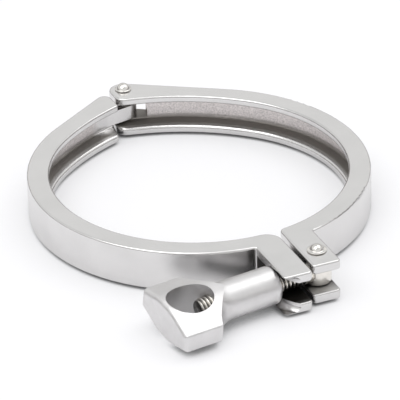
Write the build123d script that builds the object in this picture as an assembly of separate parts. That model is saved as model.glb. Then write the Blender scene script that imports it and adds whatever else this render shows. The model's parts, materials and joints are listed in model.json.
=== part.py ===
from build123d import *
import os
from math import acos, asin, atan2, cos, degrees, radians, sin, sqrt, tan

# Hinged clamp for a 4 inch sanitary ferrule joint, heavy single-pin pattern.
# Millimetres. The origin is the centre of the clamped joint, halfway up the
# band. +Z is the pipe's axis, +Y points to the hinge, -Y to the closure.
# The tongue half lies on the -X side and the clevis half on the +X side.

# ---- band section
FERRULE_RADIUS = 59.5          # rim of the ferrules that the groove takes
RIM_CLEARANCE = 1.7            # from that rim to the groove's floor
WALL = 3.1                     # metal behind the groove's floor
GROOVE_DEPTH = 5.2             # from the floor to the lips' inner faces
GROOVE_FLOOR = 6.8             # width of the flat floor
FLANK_ANGLE = 20.0             # of each flank, from the joint's plane
BAND_HEIGHT = 16.0
EDGE_ROUND = 0.8               # outer edges of the castings
LIP_ROUND = 1.2                # edges of the lips' inner faces
FLOOR_ROUND = 1.0              # corners of the groove's floor

# ---- hinge
HINGE_X = -1.3                 # pin's offset from the joint's centre line
HINGE_STAND_OFF = 6.5          # pin's axis outside the band's outer wall
EAR_RADIUS = 5.4
EAR_INNER_ROUND = 5.0          # lower corner of each ear
TONGUE_THICKNESS = 5.6
TONGUE_CLEARANCE = 0.3         # above and below the tongue
KNUCKLE_RADIUS = 5.0
KNUCKLE_POCKET = 9.3           # radius of the slot's end round the pin
HINGE_PIN_RADIUS = 2.4
HINGE_DOME_RADIUS = 3.15
HINGE_DOME_HEIGHT = 2.6
TONGUE_SHOULDER = 6.7          # from the pin's centre line to the full section
SHOULDER_TOP_ROUND = 3.0
SHOULDER_ROUND = 1.0
TONGUE_RELIEF_START = 130.0    # where the tongue half's bore leaves its circle
TONGUE_RELIEF_WIDER = 42.6     # that wider arc's radius over the bore's
CLEVIS_RELIEF_START = 45.0
CLEVIS_RELIEF_WIDER = 27.1
TONGUE_FLARE_START = 124.0     # where the outer wall runs off straight

# ---- closure
BOLT_PIN_X = 13.5
BOLT_PIN_STAND_OFF = 11.3      # pin's axis outside the band's outer wall
BOLT_PIN_RADIUS = 2.8
BOLT_DOME_RADIUS = 3.65
BOLT_DOME_HEIGHT = 2.5
PEENED_HEIGHT = 1.2            # low heads under both pins
PIN_CLEARANCE = 0.05           # round both pins
LUG_LEFT = 5.2
LUG_RIGHT = 6.0
LUG_DEPTH = 24.5               # outwards from the outer wall
LUG_INNER_ROUND = 6.5
CLOSURE_GAP = 1.6              # between the two halves, loosely closed
FORK_WIDTH = 11.0
FORK_DEPTH = 21.3
FORK_INNER_ROUND = 2.5
WALL_BLEND = 0.8               # where lug and fork leave the outer wall
PRONG_ROUND = 1.6              # upright corners of the prongs
PRONG_END_ROUND = 0.7          # where the slots open through the prongs' ends
SLOT_INNER_GAP = 0.6           # from the bolt's eye to the bottom of the slots
EYE_SIDE_CLEARANCE = 0.2       # above and below the bolt's eye
SEAT_CLEARANCE = 0.25          # between the nut and its seat in the lug
BOLT_PLAY = 2.0                # degrees that the nut can swing inwards in its seat
SWING_ROOM = 75.0              # degrees of outward swing that the seat is cut for

# ---- swing bolt, 5/16 inch thread
THREAD_RADIUS = 3.97
EYE_RADIUS = 5.3
EYE_HEIGHT = 8.0
BOLT_LENGTH = 50.6             # from the pin's axis to the tip
BOLT_TIP_CHAMFER = 0.8
BOLT_TILT = 8.4                # outwards from square to the lug, as it lies

# ---- wing nut
NUT_DISTANCE = 18.2            # from the pin's axis to the nose
NUT_LENGTH = 46.8
NUT_ROLL = 10.4                # of the wings about the bolt, as the nut was left
BARREL_RADIUS = 7.2
BARREL_STRAIGHT = 20.0
NOSE_ROUND = 2.6
THREAD_CLEARANCE = 0.08
HEAD_WIDTH = 30.4
HEAD_TIP_LENGTH = 15.4
HEAD_TIP_THICKNESS = 7.2
HEAD_THICKNESS = 14.8          # over the level strip
HEAD_CREST_WIDTH = 8.0        # of the level strip along the head
HEAD_CREST_ROUND = 18.0        # where that strip bends down to the wings
HEAD_END_ROUND = 2.0           # round the head's end face
HEAD_TIP_ROUND = 0.9           # along the tips of the wings
WINDOW_LENGTH = 18.0
WINDOW_WIDTH = 15.4
WINDOW_END_WALL = 1.6

# ---- worked out from the sizes above
HALF_HEIGHT = BAND_HEIGHT / 2
FLOOR_RADIUS = FERRULE_RADIUS + RIM_CLEARANCE
OUTER_RADIUS = FLOOR_RADIUS + WALL
BORE_RADIUS = FLOOR_RADIUS - GROOVE_DEPTH
TONGUE_RELIEF_RADIUS = BORE_RADIUS + TONGUE_RELIEF_WIDER
CLEVIS_RELIEF_RADIUS = BORE_RADIUS + CLEVIS_RELIEF_WIDER
HINGE_Y = OUTER_RADIUS + HINGE_STAND_OFF
BOLT_PIN_Y = OUTER_RADIUS + BOLT_PIN_STAND_OFF
LUG_REACH = OUTER_RADIUS + LUG_DEPTH
FORK_REACH = OUTER_RADIUS + FORK_DEPTH
HINGE = Vector(HINGE_X, HINGE_Y)
BOLT_PIN = Vector(BOLT_PIN_X, -BOLT_PIN_Y)
FORK_LEFT = LUG_RIGHT + CLOSURE_GAP
FORK_RIGHT = FORK_LEFT + FORK_WIDTH
SLOT_HEIGHT = EYE_HEIGHT + 2 * EYE_SIDE_CLEARANCE
SLOT_BOTTOM = BOLT_PIN_Y - EYE_RADIUS - SLOT_INNER_GAP
OVERCUT = 1.0                  # how far a cutter runs past the metal
HALF_TURN = 180
FULL_TURN = 360


def polar(radius, angle):
    """Point at a radius and an angle in degrees from +X."""
    return Vector(radius * cos(radians(angle)), radius * sin(radians(angle)))


def relief_centre(start_angle, relief_radius):
    """Centre of the wider arc that carries a half's bore on to the hinge."""
    return polar(BORE_RADIUS - relief_radius, start_angle)


def arc_point(centre, radius, x):
    """Upper point of a circle at a given x."""
    return Vector(x, centre.Y + sqrt(radius**2 - (x - centre.X) ** 2))


def angle_about(centre, point):
    """Direction of a point from a centre, in degrees."""
    return degrees(atan2(point.Y - centre.Y, point.X - centre.X))


def arc(centre, radius, first, last):
    """Arc between two points of one circle, the short way round."""
    start = angle_about(centre, first)
    turn = (angle_about(centre, last) - start + HALF_TURN) % FULL_TURN - HALF_TURN
    middle = centre + polar(radius, start + turn / 2)
    return ThreePointArc(first, middle, last)


def long_arc(radius, start_angle, end_angle):
    """Arc about the origin from one angle to the other, as given."""
    middle = polar(radius, (start_angle + end_angle) / 2)
    return ThreePointArc(polar(radius, start_angle), middle, polar(radius, end_angle))


def rounded(face, corner, radius):
    """Round the corner of a plan nearest to a point."""
    vertex = face.vertices().sort_by_distance(Vertex(corner.X, corner.Y, 0))[0]
    return fillet(vertex, radius)


def plate(outline, height):
    """Solid of a plan's outline, centred on the joint's plane."""
    return extrude(outline, amount=height / 2, both=True)


def groove_ring(centre, floor_radius, start_angle, end_angle):
    """Cutter for the ferrules' groove along one arc of the bore."""
    depth = GROOVE_DEPTH + OVERCUT
    mouth = GROOVE_FLOOR / 2 + depth * tan(radians(FLANK_ANGLE))
    half = GROOVE_FLOOR / 2
    inner = floor_radius - depth
    section = make_face(
        Polyline((inner, 0, -mouth), (floor_radius, 0, -half), (floor_radius, 0, half),
                 (inner, 0, mouth), close=True)
    )
    corners = section.vertices().group_by(Axis.X)[-1]
    section = fillet(corners, FLOOR_ROUND)
    ring = revolve(section, Axis.Z, end_angle - start_angle)
    return Pos(centre.X, centre.Y, 0) * Rot(0, 0, start_angle) * ring


def round_rims(body, radius):
    """Round the edges of a casting's upper and lower faces."""
    rims = body.edges().group_by(Axis.Z)
    return fillet(rims[0] + rims[-1], radius)


def round_lips(body):
    """Round the long edges where the groove's flanks meet the bore."""
    mouth = GROOVE_FLOOR / 2 + GROOVE_DEPTH * tan(radians(FLANK_ANGLE))
    lips = []
    for edge in body.edges():
        levels = [abs((edge @ share).Z) for share in (0, 0.5, 1)]
        if max(abs(level - mouth) for level in levels) < 0.01 and edge.length > GROOVE_DEPTH:
            lips.append(edge)
    return fillet(ShapeList(lips), LIP_ROUND)


def pin(place, shank_radius, dome_radius, dome_height):
    """Rivet: domed above, peened low below, with a plain shank."""
    shank = Cylinder(shank_radius, BAND_HEIGHT)
    dome = cap(dome_radius, dome_height)
    foot = cap(dome_radius, PEENED_HEIGHT)
    body = shank + Pos(0, 0, HALF_HEIGHT) * dome + Pos(0, 0, -HALF_HEIGHT) * Rot(HALF_TURN, 0, 0) * foot
    return Pos(place.X, place.Y, 0) * body


def cap(base_radius, height):
    """Slice of a ball that stands on the XY plane."""
    ball_radius = (base_radius**2 + height**2) / (2 * height)
    profile = make_face(
        [
            Line((0, 0), (base_radius, 0)),
            ThreePointArc(
                (base_radius, 0),
                (ball_radius * sin(acos(1 - height / ball_radius) / 2),
                 height - ball_radius + ball_radius * cos(acos(1 - height / ball_radius) / 2)),
                (0, height),
            ),
            Line((0, height), (0, 0)),
        ]
    )
    return revolve(Plane.XZ * profile, Axis.Z)


def clevis_plan():
    """Outline of the clevis half, seen along the pipe's axis."""
    centre = relief_centre(CLEVIS_RELIEF_START, CLEVIS_RELIEF_RADIUS)
    ear_left = HINGE_X - EAR_RADIUS
    relief_end = arc_point(centre, CLEVIS_RELIEF_RADIUS, ear_left)
    lean = degrees(acos((OUTER_RADIUS - EAR_RADIUS) / HINGE.length))
    tangent = angle_about(Vector(0, 0), HINGE) - lean
    ear_left_point = HINGE + Vector(-EAR_RADIUS, 0)
    ear_top = HINGE + polar(EAR_RADIUS, tangent)
    bore_start = -degrees(acos(FORK_LEFT / BORE_RADIUS))
    wall_end = -degrees(acos(FORK_RIGHT / OUTER_RADIUS))
    fork_inner = polar(BORE_RADIUS, bore_start)
    fork_outer = polar(OUTER_RADIUS, wall_end)
    edges = [
        long_arc(BORE_RADIUS, bore_start, CLEVIS_RELIEF_START),
        arc(centre, CLEVIS_RELIEF_RADIUS, polar(BORE_RADIUS, CLEVIS_RELIEF_START), relief_end),
        Line(relief_end, ear_left_point),
        arc(HINGE, EAR_RADIUS, ear_left_point, ear_top),
        Line(ear_top, polar(OUTER_RADIUS, tangent)),
        long_arc(OUTER_RADIUS, tangent, wall_end),
        Line(fork_outer, (FORK_RIGHT, -FORK_REACH)),
        Line((FORK_RIGHT, -FORK_REACH), (FORK_LEFT, -FORK_REACH)),
        Line((FORK_LEFT, -FORK_REACH), fork_inner),
    ]
    plan = make_face(edges)
    plan = rounded(plan, relief_end, EAR_INNER_ROUND)
    plan = rounded(plan, fork_inner, FORK_INNER_ROUND)
    plan = rounded(plan, fork_outer, WALL_BLEND)
    plan = rounded(plan, Vector(FORK_RIGHT, -FORK_REACH), PRONG_ROUND)
    return rounded(plan, Vector(FORK_LEFT, -FORK_REACH), PRONG_ROUND)


def tongue_plan():
    """Outline of the tongue half up to its shoulder."""
    centre = relief_centre(TONGUE_RELIEF_START, TONGUE_RELIEF_RADIUS)
    shoulder = HINGE_X - TONGUE_SHOULDER
    relief_end = arc_point(centre, TONGUE_RELIEF_RADIUS, shoulder)
    flare = polar(OUTER_RADIUS, TONGUE_FLARE_START)
    crest = Vector(shoulder, crest_height(shoulder))
    lug_inner = polar(BORE_RADIUS, degrees(-acos(LUG_RIGHT / BORE_RADIUS)) + FULL_TURN)
    lug_outer = polar(OUTER_RADIUS, degrees(acos(LUG_LEFT / OUTER_RADIUS)) + HALF_TURN)
    edges = [
        long_arc(BORE_RADIUS, TONGUE_RELIEF_START, angle_about(Vector(0, 0), lug_inner) + FULL_TURN),
        Line(lug_inner, (LUG_RIGHT, -LUG_REACH)),
        Line((LUG_RIGHT, -LUG_REACH), (-LUG_LEFT, -LUG_REACH)),
        Line((-LUG_LEFT, -LUG_REACH), lug_outer),
        long_arc(OUTER_RADIUS, angle_about(Vector(0, 0), lug_outer) + FULL_TURN, TONGUE_FLARE_START),
        Line(flare, crest),
        Line(crest, relief_end),
        arc(centre, TONGUE_RELIEF_RADIUS, relief_end, polar(BORE_RADIUS, TONGUE_RELIEF_START)),
    ]
    plan = make_face(edges)
    plan = rounded(plan, crest, SHOULDER_TOP_ROUND)
    plan = rounded(plan, relief_end, SHOULDER_ROUND)
    plan = rounded(plan, lug_inner, LUG_INNER_ROUND)
    plan = rounded(plan, lug_outer, WALL_BLEND)
    plan = rounded(plan, Vector(LUG_RIGHT, -LUG_REACH), PRONG_ROUND)
    return rounded(plan, Vector(-LUG_LEFT, -LUG_REACH), PRONG_ROUND)


def crest_height(x):
    """Height of the tongue half's straight outer wall at a given x."""
    slope = radians(TONGUE_FLARE_START)
    return (OUTER_RADIUS - x * cos(slope)) / sin(slope)


def tongue_blade():
    """Flat tongue that runs from the band's wall to the knuckle."""
    centre = relief_centre(TONGUE_RELIEF_START, TONGUE_RELIEF_RADIUS)
    floor = TONGUE_RELIEF_RADIUS + GROOVE_DEPTH
    root_x = HINGE_X - TONGUE_SHOULDER - SHOULDER_TOP_ROUND
    inner_root = arc_point(centre, floor, root_x)
    outer_root = Vector(root_x, crest_height(root_x) - WALL)
    blade = make_hull(
        [
            CenterArc(HINGE, KNUCKLE_RADIUS, 0, FULL_TURN),
            Line(inner_root, outer_root),
        ]
    )
    return plate(blade, TONGUE_THICKNESS)


def round_prongs(body):
    """Round the slot's edges on the end face of a lug or fork."""
    end = body.edges().group_by(Axis.Y)[0]
    mouth = end.filter_by(lambda edge: abs(edge.center().Z) < HALF_HEIGHT / 2 + OVERCUT)
    return fillet(mouth, PRONG_END_ROUND)


def mouth_slot(left, right, reach):
    """Cutter for the bolt's slot through a lug or fork."""
    length = reach - SLOT_BOTTOM + OVERCUT
    width = right - left + 2 * OVERCUT
    centre = ((left + right) / 2, -(SLOT_BOTTOM + length / 2), 0)
    return Pos(*centre) * Box(width, length, SLOT_HEIGHT)


def clevis_band():
    """Half with the two hinge ears and the bolt's fork."""
    body = round_rims(plate(clevis_plan(), BAND_HEIGHT), EDGE_ROUND)
    centre = relief_centre(CLEVIS_RELIEF_START, CLEVIS_RELIEF_RADIUS)
    past_ear = angle_about(centre, HINGE + Vector(-2 * EAR_RADIUS, 0))
    body -= groove_ring(Vector(0, 0), FLOOR_RADIUS, -100, CLEVIS_RELIEF_START)
    body -= groove_ring(centre, CLEVIS_RELIEF_RADIUS + GROOVE_DEPTH, CLEVIS_RELIEF_START, past_ear)
    body = round_lips(body)
    gap = TONGUE_THICKNESS + 2 * TONGUE_CLEARANCE
    body -= Pos(HINGE.X, HINGE.Y, 0) * Cylinder(KNUCKLE_POCKET, gap)
    body -= Pos(HINGE.X, HINGE.Y, 0) * Cylinder(HINGE_PIN_RADIUS + PIN_CLEARANCE, 2 * BAND_HEIGHT)
    body -= mouth_slot(FORK_LEFT, FORK_RIGHT, FORK_REACH)
    body = round_prongs(body)
    body -= Pos(BOLT_PIN.X, BOLT_PIN.Y, 0) * Cylinder(BOLT_PIN_RADIUS + PIN_CLEARANCE, 2 * BAND_HEIGHT)
    return body


def nut_recess():
    """Cutter for the nut's seat, open outwards so that the nut can swing out."""
    near = NUT_DISTANCE - SEAT_CLEARANCE
    tall = BARREL_RADIUS + SEAT_CLEARANCE
    barrel = Pos(near, 0, 0) * blank_barrel(tall, BARREL_STRAIGHT)
    section = Plane.XZ * (Pos(near + BARREL_STRAIGHT / 2, 0) * Rectangle(BARREL_STRAIGHT, 2 * tall))
    section = fillet(section.vertices().group_by(Axis.X)[0], NOSE_ROUND)
    sweep = revolve(section, Axis.Z, SWING_ROOM)
    return along_bolt(Rot(0, 0, -BOLT_PLAY) * (barrel + sweep))


def tongue_band():
    """Half with the hinge's tongue and the slotted lug."""
    body = round_rims(plate(tongue_plan(), BAND_HEIGHT), EDGE_ROUND)
    centre = relief_centre(TONGUE_RELIEF_START, TONGUE_RELIEF_RADIUS)
    floor = TONGUE_RELIEF_RADIUS + GROOVE_DEPTH
    past_shoulder = angle_about(centre, HINGE)
    body -= groove_ring(Vector(0, 0), FLOOR_RADIUS, TONGUE_RELIEF_START, 290)
    body -= groove_ring(centre, floor, past_shoulder, TONGUE_RELIEF_START)
    body = round_lips(body)
    body += tongue_blade()
    body -= Pos(HINGE.X, HINGE.Y, 0) * Cylinder(HINGE_PIN_RADIUS + PIN_CLEARANCE, 2 * BAND_HEIGHT)
    body -= mouth_slot(-LUG_LEFT, LUG_RIGHT, LUG_REACH)
    body = round_prongs(body)
    return body - nut_recess()


def along_bolt(body):
    """Lay a piece that was built along +X, from the pin, on the bolt's line."""
    return Pos(BOLT_PIN.X, BOLT_PIN.Y, 0) * Rot(0, 0, HALF_TURN + BOLT_TILT) * body


def swing_bolt():
    """Eye bolt with a plain shank of the thread's outer size."""
    shank = Rot(0, 90, 0) * Cylinder(THREAD_RADIUS, BOLT_LENGTH, align=(Align.CENTER, Align.CENTER, Align.MIN))
    tip = shank.edges().group_by(Axis.X)[-1]
    shank = chamfer(tip, BOLT_TIP_CHAMFER)
    body = shank + Cylinder(EYE_RADIUS, EYE_HEIGHT)
    body -= Cylinder(BOLT_PIN_RADIUS + PIN_CLEARANCE, 2 * EYE_HEIGHT)
    return along_bolt(body)


def nut_horn():
    """Turned flare from the barrel out to the shoulders of the head."""
    tip = HEAD_TIP_THICKNESS / 2
    rim = sqrt((HEAD_WIDTH / 2) ** 2 + tip**2)
    shoulder = NUT_LENGTH - HEAD_TIP_LENGTH
    rise = rim - BARREL_RADIUS
    run = shoulder - BARREL_STRAIGHT
    sweep_radius = (run**2 + rise**2) / (2 * rise)
    turn = asin(run / sweep_radius) / 2
    bend = (BARREL_STRAIGHT + sweep_radius * sin(turn),
            BARREL_RADIUS + sweep_radius * (1 - cos(turn)))
    profile = [
        Line((BARREL_STRAIGHT, 0), (BARREL_STRAIGHT, BARREL_RADIUS)),
        ThreePointArc((BARREL_STRAIGHT, BARREL_RADIUS), bend, (shoulder, rim)),
        Line((shoulder, rim), (shoulder, rim + OVERCUT)),
        Line((shoulder, rim + OVERCUT), (NUT_LENGTH, rim + OVERCUT)),
        Line((NUT_LENGTH, rim + OVERCUT), (NUT_LENGTH, 0)),
        Line((NUT_LENGTH, 0), (BARREL_STRAIGHT, 0)),
    ]
    return revolve(make_face(profile), Axis.X)


def nut_head():
    """Winged head: a bar that thins to the tips, cut to the turned flare."""
    half = HEAD_WIDTH / 2
    tip = HEAD_TIP_THICKNESS / 2
    crest = HEAD_CREST_WIDTH / 2
    top = HEAD_THICKNESS / 2
    across = make_face(
        Polyline((crest, top), (half, tip), (half, -tip), (crest, -top),
                 (-crest, -top), (-half, -tip), (-half, tip), (-crest, top),
                 close=True)
    )
    crests = across.vertices().filter_by(lambda v: abs(v.X) < crest + OVERCUT)
    across = fillet(crests, HEAD_CREST_ROUND)
    tips = across.vertices().filter_by(lambda v: abs(v.X) > half - OVERCUT)
    across = fillet(tips, HEAD_TIP_ROUND)
    bar = extrude(Plane.YZ * across, amount=NUT_LENGTH)
    bar = fillet(bar.edges().group_by(Axis.X)[-1], HEAD_END_ROUND)
    return bar & nut_horn()


def blank_barrel(radius, length):
    """Cylinder along +X with its nose rounded."""
    barrel = Rot(0, 90, 0) * Cylinder(radius, length, align=(Align.CENTER, Align.CENTER, Align.MIN))
    return fillet(barrel.edges().group_by(Axis.X)[0], NOSE_ROUND)


def wing_nut():
    """Cast nut: round barrel, winged head and the window through it."""
    window_centre = NUT_LENGTH - WINDOW_END_WALL - WINDOW_LENGTH / 2
    window = Pos(window_centre, 0, 0) * plate(
        Ellipse(WINDOW_LENGTH / 2, WINDOW_WIDTH / 2), HEAD_WIDTH
    )
    body = blank_barrel(BARREL_RADIUS, BARREL_STRAIGHT) + nut_head() - window
    bore = Rot(0, 90, 0) * Cylinder(
        THREAD_RADIUS + THREAD_CLEARANCE, window_centre,
        align=(Align.CENTER, Align.CENTER, Align.MIN)
    )
    return along_bolt(Pos(NUT_DISTANCE, 0, 0) * Rot(-NUT_ROLL, 0, 0) * (body - bore))


def build():
    """All pieces by name."""
    return {
        "clevis_band": clevis_band(),
        "tongue_band": tongue_band(),
        "hinge_pin": pin(HINGE, HINGE_PIN_RADIUS, HINGE_DOME_RADIUS, HINGE_DOME_HEIGHT),
        "bolt_pin": pin(BOLT_PIN, BOLT_PIN_RADIUS, BOLT_DOME_RADIUS, BOLT_DOME_HEIGHT),
        "swing_bolt": swing_bolt(),
        "wing_nut": wing_nut(),
    }


os.makedirs("parts", exist_ok=True)
for name, piece in build().items():
    export_step(piece, f"parts/{name}.step")
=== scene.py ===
"""Looks of the sanitary hinged clamp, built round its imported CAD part."""
import json
import math

import bmesh
import bpy
from mathutils import Matrix, Vector


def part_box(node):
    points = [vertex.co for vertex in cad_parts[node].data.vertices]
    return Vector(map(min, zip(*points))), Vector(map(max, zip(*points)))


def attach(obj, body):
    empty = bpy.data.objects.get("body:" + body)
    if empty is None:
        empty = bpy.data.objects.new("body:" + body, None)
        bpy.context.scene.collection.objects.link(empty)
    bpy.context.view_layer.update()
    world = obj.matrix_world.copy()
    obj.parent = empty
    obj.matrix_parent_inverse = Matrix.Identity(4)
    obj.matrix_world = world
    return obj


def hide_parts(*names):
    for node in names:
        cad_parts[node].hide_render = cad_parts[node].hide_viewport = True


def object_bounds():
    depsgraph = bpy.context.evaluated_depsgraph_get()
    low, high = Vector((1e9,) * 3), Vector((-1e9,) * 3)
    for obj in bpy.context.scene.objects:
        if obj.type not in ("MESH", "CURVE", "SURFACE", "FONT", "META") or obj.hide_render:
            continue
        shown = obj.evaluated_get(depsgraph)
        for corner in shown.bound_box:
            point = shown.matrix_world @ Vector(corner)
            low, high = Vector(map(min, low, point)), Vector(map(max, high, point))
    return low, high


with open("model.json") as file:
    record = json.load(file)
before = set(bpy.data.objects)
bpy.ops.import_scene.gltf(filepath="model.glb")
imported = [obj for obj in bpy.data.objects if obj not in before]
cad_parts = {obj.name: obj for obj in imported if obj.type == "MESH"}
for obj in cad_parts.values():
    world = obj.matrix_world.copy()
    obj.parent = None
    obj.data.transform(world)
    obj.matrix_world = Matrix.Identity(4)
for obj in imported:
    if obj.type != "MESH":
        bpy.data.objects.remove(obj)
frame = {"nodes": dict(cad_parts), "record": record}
cad_low, cad_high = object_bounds()

MM = 0.001
JOINTS = {joint["name"]: joint for joint in frame["record"]["behaviour"]["joints"]}

# ---- swing bolt, in metres
THREAD_PITCH = 1.5875 * MM
THREAD_DEPTH = 0.92 * MM
THREAD_RADIUS = 3.95 * MM
THREAD_START = 6.6 * MM         # from the pin's axis
THREAD_FLAT = 0.14              # of half a turn, level on the crest
THREAD_SLOPE = 0.72             # of half a turn, from crest to root
THREAD_SEGMENTS = 40            # round the shank
THREAD_STEPS = 14               # along one turn
BOLT_LENGTH = 50.55 * MM
TIP_CHAMFER = 0.8 * MM
EYE_RADIUS = 5.3 * MM
EYE_HALF = 4.0 * MM             # half the eye's height
EYE_BORE = 2.85 * MM
EYE_ROUND = 0.5 * MM
EYE_ROUND_STEPS = 4
EYE_SEGMENTS = 56
WELD_REACH = 0.001 * MM         # points closer than this are one

# ---- rivets
DOME_LIFT = 0.35 * MM           # of each head's rim above the band
RIM_SEAT = 0.8 * DOME_LIFT      # underside of that rim
BRIM_HEIGHT = 1.3 * DOME_LIFT
RIM_SHARE = 0.98                # of the head's radius, at the rim's underside
NECK_SHARE = 0.78               # of the head's radius
DOME_RINGS = 14
FIRST_RING = 0.02               # of the arc, so that the top is a small flat
BALL_SPAN = math.radians(72)    # of the ball above the brim, from its axis
BRIM_STEPS = ((0.12, 0.42), (0.32, 0.72), (0.62, 0.90), (0.88, 0.97))
HINGE_BALL = 0.86               # of the head's radius
CLOSURE_BALL = 0.70
RIVET_SEGMENTS = 48

# ---- finishes, and the colours of painted shade
BAND_STEEL = (0.70, 0.69, 0.685)
CAST_STEEL = (0.80, 0.755, 0.745)
# painted shade on the groove's flanks and its low floor
FLANK_SHADE_COLOUR = (0.24, 0.225, 0.21)
# painted shade in the slots between the prongs
SLOT_SHADE_COLOUR = (0.03, 0.028, 0.026)
NUT_STEEL = (0.71, 0.70, 0.70)
RIVET_STEEL = (0.76, 0.74, 0.71)
THREAD_STEEL = (0.86, 0.83, 0.78)
BAND_ROUGH = 0.22
CAST_ROUGH = 0.46
NUT_ROUGH = 0.42
RIVET_ROUGH = 0.16
THREAD_ROUGH = 0.2
ROOT_SHADE = 0.12               # of the thread's colour, painted shade down in its roots

# ---- where the castings are rough, and where shade is painted on them: each from none to full
MOUTH_EDGE = (5.0 * MM, 4.5 * MM)       # height off the joint's plane, lips to groove
SLOT_EDGE = (4.4 * MM, 4.25 * MM)       # height off that plane, prongs to slot
SLOT_REACH = (-62 * MM, -65 * MM)       # along Y
LOW_SHADE_HEIGHT = (-1.8 * MM, -3.3 * MM)        # height where painted shade darkens the low groove floor
FACES_INWARD = (0.5, 0.2)               # outward part of the normal
STEEP = (0.35, 0.85)                    # upright part of the normal, where the flanks get painted shade
HINGE_FADE = 2 * MM                     # past each half's own limit
CLEVIS_HINGE_LIMIT = 90 * MM            # along Y
TONGUE_HINGE_LIMIT = 60 * MM
CLEVIS_PRONG_END = -85 * MM
TONGUE_PRONG_END = -93 * MM             # past the metal: the painted shade in its slot runs to the end
PRONG_FADE = (7 * MM, 1 * MM)           # short of the prong's end, where the painted slot shade lifts
# share of the band's own colour that the painted slot shade lifts to at the prong's end
PRONG_SHADE_LIFT = 0.8

# ---- floor
FLOOR_SIZE = 6.0
FLOOR_GREY = (0.93, 0.93, 0.945)
FLOOR_LIGHT = (0.985, 0.985, 1.0)
FLOOR_WHITE = 0.41              # share that is plain white to the camera
FLOOR_IN_METAL = 0.04           # the same as the metal mirrors it
# painted contact shadow: the floor's colour goes dark where the object closes in over it
CONTACT_SHADOW_GREY = (0.02, 0.02, 0.022)
CONTACT_REACH = 12 * MM         # how far the floor looks for the object
CONTACT_SHARE = (0.06, 0.42)    # open share of the view, from dark to plain floor
CONTACT_SAMPLES = 8

# ---- light
TENT_LEVEL = 0.70
TENT_STOPS = (                  # height of a direction, colour that the metal sees there
    (0.0, (0.10, 0.095, 0.09)),
    (0.12, (0.22, 0.21, 0.205)),
    (0.3, (0.80, 0.79, 0.785)),
    (0.40, (1.06, 1.06, 1.05)),
    (0.56, (0.84, 0.85, 0.85)),
    (0.66, (0.78, 0.79, 0.79)),
    (1.0, (0.74, 0.74, 0.74)),
)
LAMP_SIZE = 1.0
LAMPS = (                       # name, place in metres, power in watts
    ("key", (-0.5, -0.15, 1.15), 5.6),
    ("fill", (0.62, 0.0, 1.18), 4.0),
)

# ---- camera, in millimetres of the part's frame and degrees
CAMERA_AT = Vector((-516.9, -1239.2, 740.8))
CAMERA_TARGET = Vector((-3.84, -9.48, -0.2))
CAMERA_ROLL = -1.595
CAMERA_LENS = 368.8
CAMERA_SENSOR = 36.0
CAMERA_FAR = 20.0               # metres


# ------------------------------------------------------------------ node helpers
class Nodes:
    """Short ways to add the nodes of one material or world."""

    def __init__(self, tree):
        self.nodes = tree.nodes
        self.links = tree.links
        self.nodes.clear()

    def put(self, kind, **values):
        """Add a node and set its own values."""
        node = self.nodes.new(kind)
        for key, value in values.items():
            setattr(node, key, value)
        return node

    def feed(self, node, socket, value):
        """Link or set one input."""
        if isinstance(value, bpy.types.NodeSocket):
            self.links.new(value, node.inputs[socket])
        else:
            node.inputs[socket].default_value = value

    def maths(self, operation, *values):
        """Result of a sum on numbers."""
        node = self.put("ShaderNodeMath", operation=operation)
        for index, value in enumerate(values):
            self.feed(node, index, value)
        return node.outputs[0]

    def vector(self, operation, result, *values):
        """Result of a sum on vectors."""
        node = self.put("ShaderNodeVectorMath", operation=operation)
        for index, value in enumerate(values):
            self.feed(node, index, value)
        return node.outputs[result]

    def axes(self, value):
        """X, Y and Z of a vector."""
        node = self.put("ShaderNodeSeparateXYZ")
        self.feed(node, 0, value)
        return node.outputs["X"], node.outputs["Y"], node.outputs["Z"]

    def noise(self, where, scale, detail, roughness=0.5):
        """Noise between 0 and 1."""
        node = self.put("ShaderNodeTexNoise")
        self.feed(node, "Vector", where)
        self.feed(node, "Scale", scale)
        self.feed(node, "Detail", detail)
        self.feed(node, "Roughness", roughness)
        return node.outputs["Fac"]

    def spread(self, value, start, end, low, high):
        """Value from one range to another, held at both ends."""
        node = self.put("ShaderNodeMapRange")
        self.feed(node, "Value", value)
        self.feed(node, "From Min", start)
        self.feed(node, "From Max", end)
        self.feed(node, "To Min", low)
        self.feed(node, "To Max", high)
        return node.outputs["Result"]

    def share(self, value, none_at, full_at):
        """0 at one value, 1 at the other, held beyond both."""
        return self.spread(value, none_at, full_at, 0.0, 1.0)

    def both(self, first, second):
        """Share that needs both shares."""
        return self.maths("MULTIPLY", first, second)

    def blend(self, factor, first, second):
        """Colour between two colours."""
        node = self.put("ShaderNodeMix", data_type="RGBA")
        self.feed(node, "Factor", factor)
        for socket, value in (("A", first), ("B", second)):
            if isinstance(value, tuple):
                value = (*value, 1.0)
            self.feed(node, socket, value)
        return node.outputs["Result"]

    def bump(self, height, distance, below=None):
        """Normal bent by a height, over another normal if there is one."""
        node = self.put("ShaderNodeBump")
        self.feed(node, "Strength", 1.0)
        self.feed(node, "Distance", distance)
        self.feed(node, "Height", height)
        if below is not None:
            self.feed(node, "Normal", below)
        return node.outputs["Normal"]


def new_material(name):
    """Material with an empty node tree."""
    material = bpy.data.materials.new(name)
    material.use_nodes = True
    return material, Nodes(material.node_tree)


def metal_shader(tree, colour, rough, normal):
    """Metal with the given colour, roughness and normal."""
    shader = tree.put("ShaderNodeBsdfPrincipled")
    shader.inputs["Metallic"].default_value = 1.0
    tree.feed(shader, "Base Color", colour)
    tree.feed(shader, "Roughness", rough)
    tree.feed(shader, "Normal", normal)
    out = tree.put("ShaderNodeOutputMaterial")
    tree.links.new(shader.outputs["BSDF"], out.inputs["Surface"])


def shade(colour, factor):
    """Colour made lighter or darker."""
    return tuple(min(1.0, part * factor) for part in colour)


def paint(obj, material):
    """Give an object one material."""
    obj.data.materials.clear()
    obj.data.materials.append(material)


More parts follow.
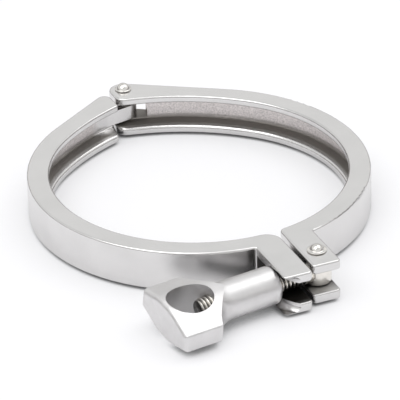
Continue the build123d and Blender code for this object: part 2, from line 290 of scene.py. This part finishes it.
# ------------------------------------------------------------------ metals
def polished(name, colour, rough, mottle, wave_height, wave_scale):
    """Evenly finished steel with faint blotches and soft waves."""
    material, tree = new_material(name)
    where = tree.put("ShaderNodeTexCoord").outputs["Object"]
    blotch = tree.share(tree.noise(where, scale=140.0, detail=4.0), 0.35, 0.65)
    tint = tree.blend(blotch, shade(colour, 1 - mottle), shade(colour, 1 + mottle))
    haze = tree.noise(where, scale=420.0, detail=3.0)
    gloss = tree.spread(haze, 0.3, 0.7, rough * 0.8, rough * 1.2)
    coarse = tree.bump(tree.noise(where, wave_scale, detail=2.0), wave_height)
    fine = tree.bump(tree.noise(where, scale=6500.0, detail=2.0), 0.002 * MM, coarse)
    metal_shader(tree, tint, gloss, fine)
    return material


def threaded(name, colour, rough):
    """Machined thread: painted shade down in the roots, full colour on the crests and the eye.
    """
    material, tree = new_material(name)
    where = tree.put("ShaderNodeTexCoord").outputs["Object"]
    x, y, z = tree.axes(where)
    square = tree.maths("ADD", tree.maths("MULTIPLY", y, y), tree.maths("MULTIPLY", z, z))
    radius = tree.maths("SQRT", square)
    crest = tree.share(radius, THREAD_RADIUS - THREAD_DEPTH, THREAD_RADIUS - 0.2 * MM)
    eye = tree.share(x, THREAD_START, THREAD_START - 0.4 * MM)
    bright = tree.maths("MAXIMUM", crest, eye)
    worn = tree.spread(tree.noise(where, scale=900.0, detail=3.0), 0.3, 0.7, 0.9, 1.0)
    # painted shade in the thread's roots
    tint = tree.blend(tree.both(bright, worn), shade(colour, ROOT_SHADE), colour)
    haze = tree.noise(where, scale=1500.0, detail=2.0)
    gloss = tree.spread(haze, 0.3, 0.7, rough * 0.8, rough * 1.3)
    normal = tree.bump(tree.noise(where, scale=4000.0, detail=2.0), 0.004 * MM)
    metal_shader(tree, tint, gloss, normal)
    return material


def hollow_shares(tree, where, facing, hinge_limit):
    """Shares of the hollows, of the slots among them, and of the painted shade on the flanks
    and the low groove floor.
    """
    y, z = tree.axes(where)[1:]
    upright = tree.axes(facing)[2]
    level = tree.maths("ABSOLUTE", z)
    flat = tree.vector("MULTIPLY", "Vector", where, (1.0, 1.0, 0.0))
    away = tree.vector("NORMALIZE", "Vector", flat)
    outward = tree.vector("DOT_PRODUCT", "Value", away, facing)
    in_slot = tree.share(y, *SLOT_REACH)
    slot_wall = tree.both(tree.share(level, *SLOT_EDGE), in_slot)
    low = tree.maths("MAXIMUM", tree.share(level, *MOUTH_EDGE), slot_wall)
    inward = tree.share(outward, *FACES_INWARD)
    short_of_hinge = tree.share(y, hinge_limit + HINGE_FADE, hinge_limit)
    inside = tree.both(tree.both(low, inward), short_of_hinge)
    steep = tree.share(tree.maths("ABSOLUTE", upright), *STEEP)
    # painted shade on the steep flanks and the low groove floor
    flank_shade = tree.maths("MAXIMUM", steep, tree.share(z, *LOW_SHADE_HEIGHT))
    return inside, in_slot, flank_shade


def cast_band(name, hinge_limit, prong_end):
    """Tumbled steel casting: bright outside, rougher in groove and slots, with painted shade
    on the flanks, the low groove floor and in the slots.
    """
    material, tree = new_material(name)
    spots = tree.put("ShaderNodeTexCoord")
    where = spots.outputs["Object"]
    inside, in_slot, flank_shade = hollow_shares(tree, where, spots.outputs["Normal"], hinge_limit)
    fade_start, fade_end = PRONG_FADE
    y = tree.axes(where)[1]
    # the painted slot shade lifts towards the prong's end
    prong_shade_lift = tree.spread(y, prong_end + fade_start, prong_end + fade_end, 0.0, PRONG_SHADE_LIFT)

    grain = tree.noise(where, scale=1900.0, detail=5.0, roughness=0.65)
    blotch = tree.noise(where, scale=75.0, detail=5.0, roughness=0.55)
    pit = tree.share(tree.noise(where, scale=520.0, detail=3.0, roughness=0.6), 0.28, 0.42)
    outer_tint = tree.blend(tree.share(blotch, 0.3, 0.7), shade(BAND_STEEL, 0.95),
                            shade(BAND_STEEL, 1.04))
    cast_tint = tree.blend(tree.share(grain, 0.35, 0.62), shade(CAST_STEEL, 0.72),
                           shade(CAST_STEEL, 1.12))
    # painted shade: the dark flanks and the low groove floor
    groove_tint = tree.blend(flank_shade, cast_tint, FLANK_SHADE_COLOUR)
    # painted shade in the slots
    slot_tint = tree.blend(prong_shade_lift, SLOT_SHADE_COLOUR, BAND_STEEL)
    inner_tint = tree.blend(in_slot, groove_tint, slot_tint)
    tint = tree.blend(inside, outer_tint, inner_tint)

    outer_gloss = tree.spread(blotch, 0.3, 0.7, BAND_ROUGH * 0.85, BAND_ROUGH * 1.15)
    gloss = tree.spread(inside, 0.0, 1.0, outer_gloss, CAST_ROUGH)
    waves = tree.bump(tree.noise(where, scale=55.0, detail=2.0), 0.05 * MM)
    pitted = tree.bump(pit, 0.004 * MM, waves)
    normal = tree.bump(tree.both(grain, inside), 0.10 * MM, pitted)
    metal_shader(tree, tint, gloss, normal)
    return material


# ------------------------------------------------------------------ pieces
def bolt_matrix():
    """Local +X along the bolt from its pin, local +Z along the pipe."""
    along = Vector(JOINTS["nut_travel"]["axis"]).normalized()
    up = Vector((0, 0, 1))
    side = up.cross(along)
    turned = Matrix((along, side, up)).transposed().to_4x4()
    return Matrix.Translation(Vector(JOINTS["bolt_swing"]["pos_m"])) @ turned


def show(name, data, place, body, material, stands_for):
    """Smooth-shaded piece from a bmesh, riding on a body."""
    mesh = bpy.data.meshes.new(name)
    bmesh.ops.recalc_face_normals(data, faces=data.faces)
    data.to_mesh(mesh)
    data.free()
    obj = bpy.data.objects.new(name, mesh)
    bpy.context.scene.collection.objects.link(obj)
    obj.matrix_world = place
    for polygon in mesh.polygons:
        polygon.use_smooth = True
    paint(obj, material)
    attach(obj, body)
    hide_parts(stands_for)


def join_rows(data, rows):
    """Quads between rings of points, each row closed on itself."""
    made = [[data.verts.new(point) for point in row] for row in rows]
    for first, second in zip(made, made[1:]):
        count = len(first)
        for index in range(count):
            after = (index + 1) % count
            data.faces.new((first[index], first[after], second[after], second[index]))
    return made


def close_ends(data, rows):
    """Solid between rings of points, with a face over the first and the last."""
    made = join_rows(data, rows)
    data.faces.new(made[0])
    data.faces.new(made[-1])


def turned_rows(profile, segments):
    """Ring about Z for each (radius, height) point of a profile."""
    rows = []
    for radius, height in profile:
        row = []
        for k in range(segments):
            angle = math.tau * k / segments
            row.append((radius * math.cos(angle), radius * math.sin(angle), height))
        rows.append(row)
    return rows


def thread_depth_at(x, turn):
    """How far the thread's surface lies under its outer radius."""
    phase = ((x / THREAD_PITCH) - turn) % 1.0
    wave = abs(2 * phase - 1)
    depth = min(1.0, max(0.0, (wave - THREAD_FLAT) / THREAD_SLOPE))
    fade_in = min(1.0, max(0.0, (x - THREAD_START) / THREAD_PITCH))
    return THREAD_DEPTH * depth * fade_in


def thread_row(x):
    """Ring of points about X on the threaded shank, chamfered at the tip."""
    cut = max(0.0, x - (BOLT_LENGTH - TIP_CHAMFER))
    row = []
    for k in range(THREAD_SEGMENTS):
        turn = k / THREAD_SEGMENTS
        angle = math.tau * turn
        radius = min(THREAD_RADIUS - thread_depth_at(x, turn), THREAD_RADIUS - cut)
        row.append((x, radius * math.cos(angle), radius * math.sin(angle)))
    return row


def thread_rows():
    """Rings from inside the eye to the tip."""
    step = THREAD_PITCH / THREAD_STEPS
    count = round((BOLT_LENGTH - THREAD_START) / step)
    rows = [thread_row(0.5 * EYE_RADIUS)]
    rows += [thread_row(THREAD_START + index * step) for index in range(count)]
    rows.append(thread_row(BOLT_LENGTH))
    return rows


def eye_profile():
    """Closed section of the bolt's eye, as (radius, height) points."""
    corner = []
    for step in range(EYE_ROUND_STEPS + 1):
        angle = math.pi / 2 * step / EYE_ROUND_STEPS
        corner.append((EYE_RADIUS - EYE_ROUND + EYE_ROUND * math.sin(angle),
                       EYE_HALF - EYE_ROUND + EYE_ROUND * math.cos(angle)))
    upper = [(EYE_BORE, EYE_HALF)] + corner
    lower = [(radius, -height) for radius, height in reversed(upper)]
    return upper + lower + upper[:1]


def add_swing_bolt():
    """Eye bolt with a real helical thread."""
    data = bmesh.new()
    close_ends(data, thread_rows())
    join_rows(data, turned_rows(eye_profile(), EYE_SEGMENTS))
    bmesh.ops.remove_doubles(data, verts=data.verts, dist=WELD_REACH)
    thread_steel = threaded("thread_bright", THREAD_STEEL, THREAD_ROUGH)
    show("eye_bolt", data, bolt_matrix(), "bolt", thread_steel, "swing_bolt")


def ball_arc(ball, top, reach):
    """Points of a ball's arc from just off its axis, with its top at a height."""
    points = []
    for ring in range(DOME_RINGS + 1):
        angle = reach * (FIRST_RING + (1 - FIRST_RING) * ring / DOME_RINGS)
        points.append((ball * math.sin(angle), top - ball + ball * math.cos(angle)))
    return points


def head_profile(radius, height, ball_share):
    """Rivet head from its axis outwards: a ball that runs out into a thin brim."""
    points = ball_arc(ball_share * radius, height, BALL_SPAN)
    root_radius, root_height = points[-1]
    for outwards, down in BRIM_STEPS:
        points.append((root_radius + outwards * (radius - root_radius),
                       root_height + down * (BRIM_HEIGHT - root_height)))
    points.append((radius, DOME_LIFT))
    points.append((RIM_SHARE * radius, RIM_SEAT))
    return points


def foot_profile(radius, height):
    """Low peened head from its axis outwards."""
    cap = height - DOME_LIFT
    ball = (radius**2 + cap**2) / (2 * cap)
    return ball_arc(ball, height, math.asin(radius / ball))


def add_rivet(name, node, ball_share):
    """Rivet whose heads stand on a short neck, in the CAD pin's own sizes."""
    low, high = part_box(node)
    radius = (high.x - low.x) / 2
    band_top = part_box("clevis_band")[1].z
    neck = NECK_SHARE * radius
    foot = foot_profile(radius, -band_top - low.z)
    head = head_profile(radius, high.z - band_top, ball_share)
    profile = [(wide, -band_top - up) for wide, up in foot]
    profile += [(neck, -band_top - RIM_SEAT), (neck, band_top + RIM_SEAT)]
    profile += [(wide, band_top + up) for wide, up in reversed(head)]
    data = bmesh.new()
    close_ends(data, turned_rows(profile, RIVET_SEGMENTS))
    middle = (low + high) / 2
    place = Matrix.Translation((middle.x, middle.y, 0))
    show(name, data, place, "clevis_half", rivet_steel, node)


# ------------------------------------------------------------------ stage
def floor_material():
    """White floor that keeps the object's shadow, with a painted contact shadow close under
    the object.
    """
    material, tree = new_material("floor_white")
    nook = tree.put("ShaderNodeAmbientOcclusion", samples=CONTACT_SAMPLES)
    nook.inputs["Distance"].default_value = CONTACT_REACH
    # painted contact shadow, from how much of the view the object closes
    open_share = tree.share(nook.outputs["AO"], *CONTACT_SHARE)
    diffuse = tree.put("ShaderNodeBsdfDiffuse")
    tree.feed(diffuse, "Color", tree.blend(open_share, CONTACT_SHADOW_GREY, FLOOR_GREY))
    white = tree.put("ShaderNodeEmission")
    tree.feed(white, "Color", tree.blend(open_share, CONTACT_SHADOW_GREY, FLOOR_LIGHT))
    path = tree.put("ShaderNodeLightPath")
    to_eye = tree.maths("MULTIPLY", path.outputs["Is Camera Ray"], FLOOR_WHITE)
    to_metal = tree.maths("MULTIPLY", path.outputs["Is Glossy Ray"], FLOOR_IN_METAL)
    mix = tree.put("ShaderNodeMixShader")
    tree.feed(mix, "Fac", tree.maths("ADD", to_eye, to_metal))
    tree.links.new(diffuse.outputs["BSDF"], mix.inputs[1])
    tree.links.new(white.outputs["Emission"], mix.inputs[2])
    out = tree.put("ShaderNodeOutputMaterial")
    tree.links.new(mix.outputs["Shader"], out.inputs["Surface"])
    return material


def add_floor():
    """Wide floor just under the object."""
    data = bmesh.new()
    bmesh.ops.create_grid(data, x_segments=1, y_segments=1, size=FLOOR_SIZE)
    mesh = bpy.data.meshes.new("floor")
    data.to_mesh(mesh)
    data.free()
    floor = bpy.data.objects.new("floor", mesh)
    bpy.context.scene.collection.objects.link(floor)
    floor.location.z = cad_low.z
    paint(floor, floor_material())


def tent_ramp(tree):
    """Colour of the tent by the height of a direction."""
    where = tree.put("ShaderNodeTexCoord").outputs["Generated"]
    ramp = tree.put("ShaderNodeValToRGB")
    tree.feed(ramp, "Fac", tree.axes(where)[2])
    stops = ramp.color_ramp.elements
    for stop, (position, colour) in zip(stops, (TENT_STOPS[0], TENT_STOPS[-1])):
        stop.position = position
        stop.color = (*colour, 1)
    for position, colour in TENT_STOPS[1:-1]:
        stops.new(position).color = (*colour, 1)
    return ramp.outputs["Color"]


def add_world():
    """Even white tent; in the metal it is darker towards the horizon."""
    world = bpy.data.worlds.new("studio")
    bpy.context.scene.world = world
    world.use_nodes = True
    tree = Nodes(world.node_tree)
    path = tree.put("ShaderNodeLightPath")
    even = tree.put("ShaderNodeBackground")
    even.inputs["Color"].default_value = (TENT_LEVEL, TENT_LEVEL, TENT_LEVEL, 1)
    seen = tree.put("ShaderNodeBackground")
    tree.feed(seen, "Color", tent_ramp(tree))
    mix = tree.put("ShaderNodeMixShader")
    tree.feed(mix, "Fac", path.outputs["Is Glossy Ray"])
    tree.links.new(even.outputs["Background"], mix.inputs[1])
    tree.links.new(seen.outputs["Background"], mix.inputs[2])
    out = tree.put("ShaderNodeOutputWorld")
    tree.links.new(mix.outputs["Shader"], out.inputs["Surface"])


def add_lamp(name, place, power):
    """Square softbox aimed at the middle of the clamp."""
    lamp = bpy.data.lights.new(name, "AREA")
    lamp.shape = "SQUARE"
    lamp.size = LAMP_SIZE
    lamp.energy = power
    obj = bpy.data.objects.new(name, lamp)
    bpy.context.scene.collection.objects.link(obj)
    obj.location = place
    obj.rotation_euler = (-Vector(place)).to_track_quat("-Z", "Y").to_euler()


def add_camera():
    """Camera at the photograph's viewing angle."""
    data = bpy.data.cameras.new("camera")
    data.lens = CAMERA_LENS
    data.sensor_width = CAMERA_SENSOR
    data.clip_end = CAMERA_FAR
    obj = bpy.data.objects.new("camera", data)
    bpy.context.scene.collection.objects.link(obj)
    look = (CAMERA_TARGET - CAMERA_AT).to_track_quat("-Z", "Y").to_matrix().to_4x4()
    roll = Matrix.Rotation(math.radians(CAMERA_ROLL), 4, "Z")
    obj.matrix_world = Matrix.Translation(CAMERA_AT * MM) @ look @ roll
    bpy.context.scene.camera = obj


# ------------------------------------------------------------------ the scene
clevis_cast = cast_band("clevis_cast", CLEVIS_HINGE_LIMIT, CLEVIS_PRONG_END)
tongue_cast = cast_band("tongue_cast", TONGUE_HINGE_LIMIT, TONGUE_PRONG_END)
nut_steel = polished("nut_satin", NUT_STEEL, NUT_ROUGH, mottle=0.02,
                     wave_height=0.003 * MM, wave_scale=160.0)
rivet_steel = polished("rivet_bright", RIVET_STEEL, RIVET_ROUGH, mottle=0.04,
                       wave_height=0.01 * MM, wave_scale=400.0)

paint(frame["nodes"]["clevis_band"], clevis_cast)
paint(frame["nodes"]["tongue_band"], tongue_cast)
paint(frame["nodes"]["wing_nut"], nut_steel)
add_swing_bolt()
add_rivet("hinge_rivet", "hinge_pin", HINGE_BALL)
add_rivet("closure_rivet", "bolt_pin", CLOSURE_BALL)

add_floor()
add_world()
add_camera()
for lamp_name, lamp_place, lamp_power in LAMPS:
    add_lamp(lamp_name, lamp_place, lamp_power)
bpy.context.scene.view_settings.view_transform = "Standard"
